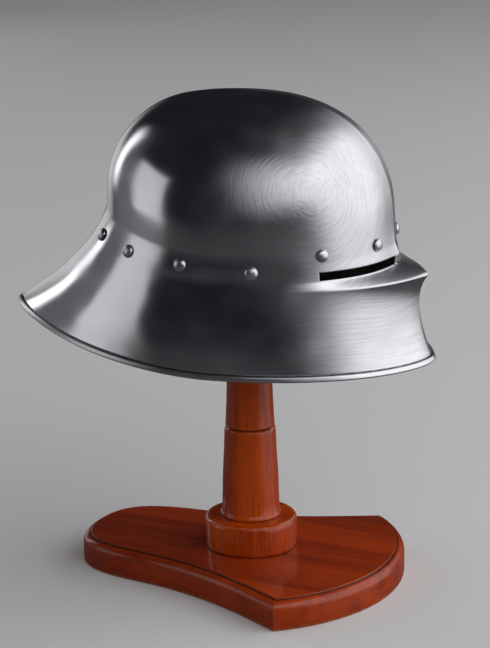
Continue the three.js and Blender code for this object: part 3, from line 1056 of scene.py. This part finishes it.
column = {
    "tenon": 24, "ringUnder": 26.9,
    "ring": [(27.15, 0.25), (27.4, 1.2), (27.3, 2.2), (26.75, 3.3), (26.2, 4.6), (25.8, 7),
             (25.5, 10)],  # up from the collar
    "lower": [(24.8, 92), (23.6, 115), (22.8, 134), (22.65, 136.4)],
    "groove": 139.0, "grooveFloor": 19.8,
    "grooveOver": [(22.5, -2.0), (22.25, -1.5), (20.05, -0.2)],  # up from the groove
    "grooveUnder": [(20.0, 0.2), (21.9, 1.5), (21.95, 2.0)],
    "upper": [(21.85, 141.6), (21.6, 145), (20.6, 167), (20, 199), (20, 300), (20, 396.9)],
    "end": [(19.6, 397.7), (0, 398)],
    "worn": [(22.25, 137.3), (21.9, 140.7), (27.3, 57.3)], "wornWidth": 1.1,
}

cap = {
    "radius": 58.0, "top": 435.8, "dome": 96.0, "domeSteps": 24, "under": 400.0,
    "socket": 20, "socketTop": 398.3,
    "neck": [(0, -13.6), (0.5, -14), (6, -14), (9, -12.5), (14, -8)],  # from the socket
    "lip": [(-4, 0), (-1.2, 0.6), (0, 3)],  # out from the radius, both up from the underside
    "worn": [(0, 3)], "wornWidth": 2,
    # painted shade round the neck under the cap
    "shadedRing": [(0, -14)],
}


def eased(knots, step):  # a smooth line through [radius, height] knots
    k = np.array(knots, float)
    k = np.vstack([2 * k[0] - k[1], k, 2 * k[-1] - k[-2]])
    result = []
    for i in range(1, len(k) - 2):
        count = max(2, int(abs(k[i + 1] - k[i]).max() / step))
        result += [tuple(between(*k[i - 1:i + 3], f)) for f in np.arange(count) / count]
    return result + [tuple(k[-2])]


def shifted(pairs, radius, height):
    return [(radius + r, height + z) for r, z in pairs]


def markEdges(mesh, rings, width, hollows):  # [radius, height] of worn edges, and of grooves and joints given painted shade
    points = pointsOf(mesh)
    flat = np.column_stack([np.hypot(points[:, 0], points[:, 1]), points[:, 2]])
    for name, places in (("edge", rings), ("hollow", hollows)):
        gap = np.min([np.hypot(*(flat - ring).T) for ring in np.array(places, float)], axis=0)
        setValues(mesh, name, np.clip(1 - gap / width, 0, 1))
    mesh.set_sharp_from_angle(angle=math.radians(turnedPiece["sharpFrom"]))


def collarMesh():
    r, top, bore = (collar[k] for k in ("radius", "top", "bore"))
    foot = board["thick"] + turnedPiece["gap"]
    outline = [(bore, foot), (r - 0.8, foot), (r - 0.2, foot + 0.3)]
    outline += eased(shifted(collar["side"], r, foot) + shifted(collar["shoulder"], r, top), 1.5)
    outline += eased(shifted(collar["crown"], r, top), 0.5)
    outline += [(r - 10, top + 0.02), (bore + 0.3, top), (bore, top - 0.3)]
    mesh = latheMesh("collarRing", outline, turnedPiece["segments"], closed=True)
    # painted shade at the collar's foot on the board
    markEdges(mesh, shifted(collar["worn"], r, top), collar["wornWidth"], [(r - 0.2, foot)])
    return mesh


def columnMesh():
    foot = board["thick"] + turnedPiece["gap"]
    seat = collar["top"] + turnedPiece["gap"]
    tenon, under = column["tenon"], column["ringUnder"]
    ring = shifted(column["ring"], 0, seat)
    outline = [(0, foot), (tenon - 0.4, foot), (tenon, foot + 0.4), (tenon, seat), (under, seat)]
    outline += eased(ring, 0.4) + eased([ring[-1]] + column["lower"], 3)[1:]
    outline += shifted(column["grooveOver"], 0, column["groove"])
    outline += [(column["grooveFloor"], column["groove"])]
    outline += shifted(column["grooveUnder"], 0, column["groove"])
    outline += eased(column["upper"], 4) + column["end"]
    mesh = latheMesh("columnTurned", outline, turnedPiece["segments"])
    # painted shade in the groove and where the column sits on the collar
    markEdges(mesh, column["worn"], column["wornWidth"],
              [(column["grooveFloor"], column["groove"]), (under, seat)])
    return mesh


def capMesh():
    radius, top, dome, under = (cap[k] for k in ("radius", "top", "dome", "under"))
    socket = cap["socket"] + turnedPiece["gap"]
    bulge = [(r, top - dome + math.sqrt(dome ** 2 - r ** 2))
             for r in np.linspace(radius, 0, cap["domeSteps"])]
    outline = [(0, cap["socketTop"]), (socket, cap["socketTop"])]
    outline += shifted(cap["neck"], socket, under)
    outline += eased(shifted(cap["lip"], radius, under), 0.6) + bulge
    mesh = latheMesh("capTurned", outline, turnedPiece["capSegments"])
    markEdges(mesh, shifted(cap["worn"], radius, under), cap["wornWidth"],
              shifted(cap["shadedRing"], socket, under))
    return mesh


addPiece("collarRing", collarMesh(), turnedWood, "turned_wood", "stand_collar")
addPiece("columnTurned", columnMesh(), turnedWood, "turned_wood", "stand_column")
addPiece("capTurned", capMesh(), turnedWood, "turned_wood", "stand_cap")


# studio

studio = {
    "floorSize": 30.0,
    "floorDrop": 0.0003,
    "floor": (0.80, 0.80, 0.79, 1),
    "floorRoughness": 0.9,
    "floorShine": 0.1,
    "floorSeen": 0.18,  # how strongly glossy surfaces see the floor
    "floorBounce": 0.35,  # how strongly it lights what stands on it
    "room": (0.014, 0.014, 0.018, 1),
    "backdrop": (0.62, 0.62, 0.63, 1),
    "skylight": (0.10, 0.10, 0.105, 1),  # even light on the floor and the wood
    # degrees round and up from the helmet, half widths in degrees, edge softness, radiance, tint
    "lamps": {
        "keyBox": (99, 20, 54, 50, 0.35, 1.65, (1.0, 1.0, 1.0)),
        "behindBox": (154, 24, 22, 30, 0.45, 0.8, (0.97, 0.98, 1.0)),
        "frontBox": (36, 33, 36, 27, 0.42, 1.2, (0.98, 0.98, 1.0)),
        "backStrip": (-114, 14, 8, 22, 0.3, 2.1, (1.0, 1.0, 1.0)),
        "backWall": (-134, -2, 20, 17, 0.35, 0.7, (1.0, 0.99, 0.98)),
        "sidePanel": (-67, 10, 17, 18, 0.10, 0.72, (1.0, 0.99, 0.98)),
        "sideFill": (-84, 2, 40, 32, 0.4, 0.16, (0.97, 0.98, 1.0)),
    },
    "lampAway": 3.0,
    "aim": (0.0, 0.0, 0.30),
}


def softenEdges(data, softness):  # a softbox is dimmer towards its edges
    data.use_nodes = True
    tree = data.node_tree
    spot = split(tree, addNode(tree, "ShaderNodeNewGeometry").outputs["Parametric"])
    strength = 1.0
    for axis in ("X", "Y"):
        edge = calc(tree, "MINIMUM", spot[axis], minus(tree, 1.0, spot[axis]))
        strength = times(tree, rampOf(tree, edge, 0.0, softness), strength)
    feed(tree, tree.nodes["Emission"].inputs, {"Strength": strength})


def addLamps():
    away = studio["lampAway"]
    for name, (turn, rise, across, tall, softness, radiance, tint) in studio["lamps"].items():
        way = outwards(turn, rise)
        data = bpy.data.lights.new(name, "AREA")
        data.shape = "RECTANGLE"
        data.size, data.size_y = (2 * away * math.tan(math.radians(a)) for a in (across, tall))
        data.energy = radiance * math.pi * data.size * data.size_y
        data.color = tint
        softenEdges(data, softness)
        obj = linkNew(bpy.data.objects.new(name, data))
        obj.visible_camera = False
        facing = way.to_track_quat("Z", "Y").to_matrix().to_4x4()
        obj.matrix_world = Matrix.Translation(Vector(studio["aim"]) + way * away) @ facing


def addFloor():
    half = studio["floorSize"] / 2
    corners = [(-half, -half, 0), (half, -half, 0), (half, half, 0), (-half, half, 0)]
    mesh = bpy.data.meshes.new("floor")
    mesh.from_pydata(corners, [], [(0, 1, 2, 3)])
    material, tree, bsdf = newMaterial("pale_floor")
    look = addNode(tree, "ShaderNodeLightPath").outputs
    hidden = calc(tree, "MAXIMUM", times(tree, look["Is Glossy Ray"], 1 - studio["floorSeen"]),
                  times(tree, look["Is Diffuse Ray"], 1 - studio["floorBounce"]))
    feed(tree, bsdf.inputs, {
        "Base Color": studio["floor"],
        "Roughness": studio["floorRoughness"],
        "Specular IOR Level": studio["floorShine"],
        "Alpha": minus(tree, 1.0, hidden),
    })
    mesh.materials.append(material)
    floor = linkNew(bpy.data.objects.new("floor", mesh))
    floor.location.z = -studio["floorDrop"]


def addRoom():
    world = bpy.data.worlds.new("room")
    scene.world = world
    world.use_nodes = True
    tree = world.node_tree
    look = addNode(tree, "ShaderNodeLightPath").outputs
    colour = mixColour(tree, look["Is Diffuse Ray"], studio["room"], studio["skylight"])
    colour = mixColour(tree, look["Is Camera Ray"], colour, studio["backdrop"])
    feed(tree, tree.nodes["Background"].inputs, {"Color": colour})


addLamps()
addFloor()
addRoom()
scene.view_settings.view_transform = "Standard"
print("studio ready")
